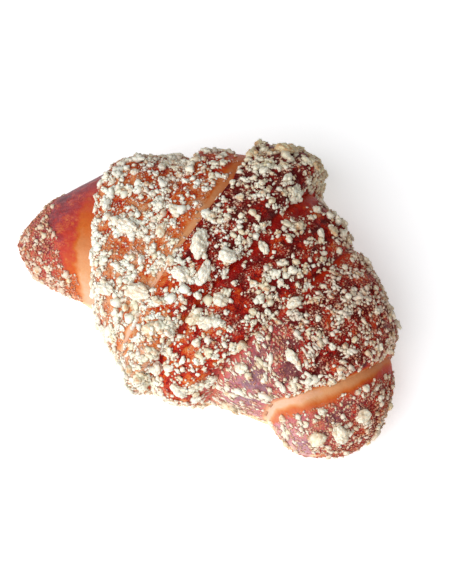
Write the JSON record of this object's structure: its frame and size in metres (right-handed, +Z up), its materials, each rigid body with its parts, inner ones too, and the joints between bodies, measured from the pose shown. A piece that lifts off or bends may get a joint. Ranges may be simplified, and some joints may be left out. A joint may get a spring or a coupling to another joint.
{
  "type": "crescent roll",
  "caption": "Baked crescent roll of yeast dough: rolled-up turns of glazed crust that step down from a thick middle to bent horns, topped with streusel crumbs.",
  "frame": {"origin": "the point of the tray under the middle of the roll's box", "axes": "+X from the slim left horn to the blunt right horn, +Y towards the outer side of the bend, +Z up from the tray"},
  "size_m": [0.1514, 0.1124, 0.0542],
  "materials": {
    "crust": "egg-washed crust, baked red-brown with orange and peach bands at the folds, half glossy",
    "streusel": "pale cream butter crumbs, rough and dull, some with browned edges"
  },
  "bodies": {
    "root": {"roll": "crust"}
  },
  "joints": []
}
